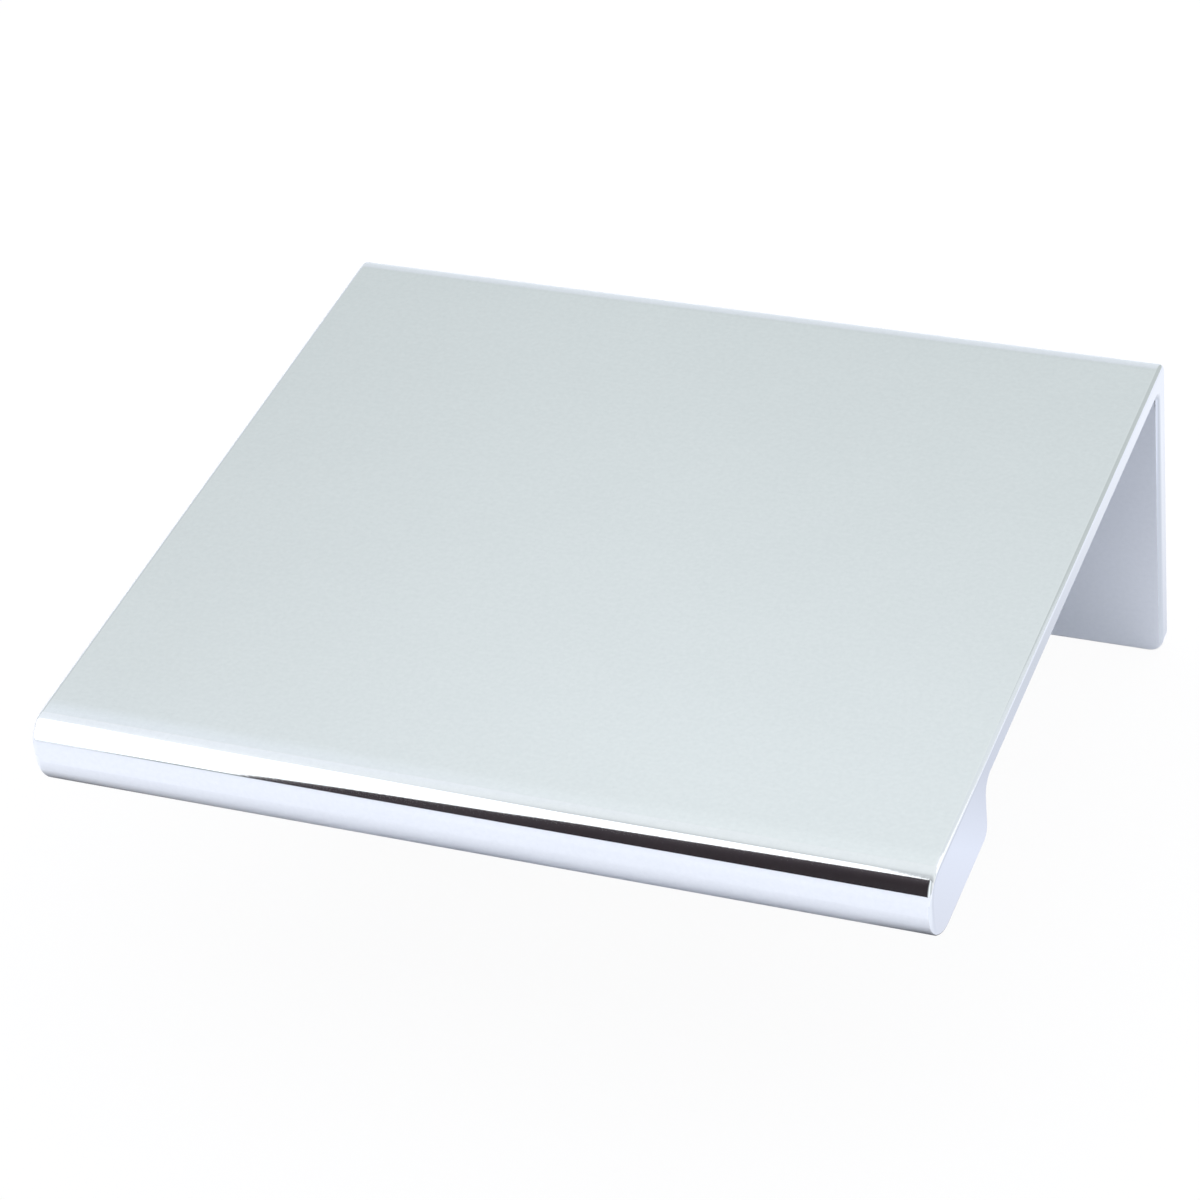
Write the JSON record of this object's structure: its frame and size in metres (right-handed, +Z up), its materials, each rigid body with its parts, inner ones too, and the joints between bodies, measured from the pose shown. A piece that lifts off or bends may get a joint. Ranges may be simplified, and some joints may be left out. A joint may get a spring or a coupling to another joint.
{
  "type": "tab pull",
  "caption": "Tab pull in polished chrome: a thin plate that lies over a door's edge, a screw flange down its back and a rounded lip in front to pull on.",
  "frame": {"origin": "midway between the two screw holes, on the flange face that lies against the back of the door", "axes": "+X along the pull, +Y to the back of the door and square to the flange, +Z up"},
  "size_m": [0.0444, 0.041, 0.0182],
  "materials": {
    "polished_chrome": "polished chrome plate"
  },
  "bodies": {
    "root": {"pull_body": "polished_chrome"}
  },
  "joints": []
}
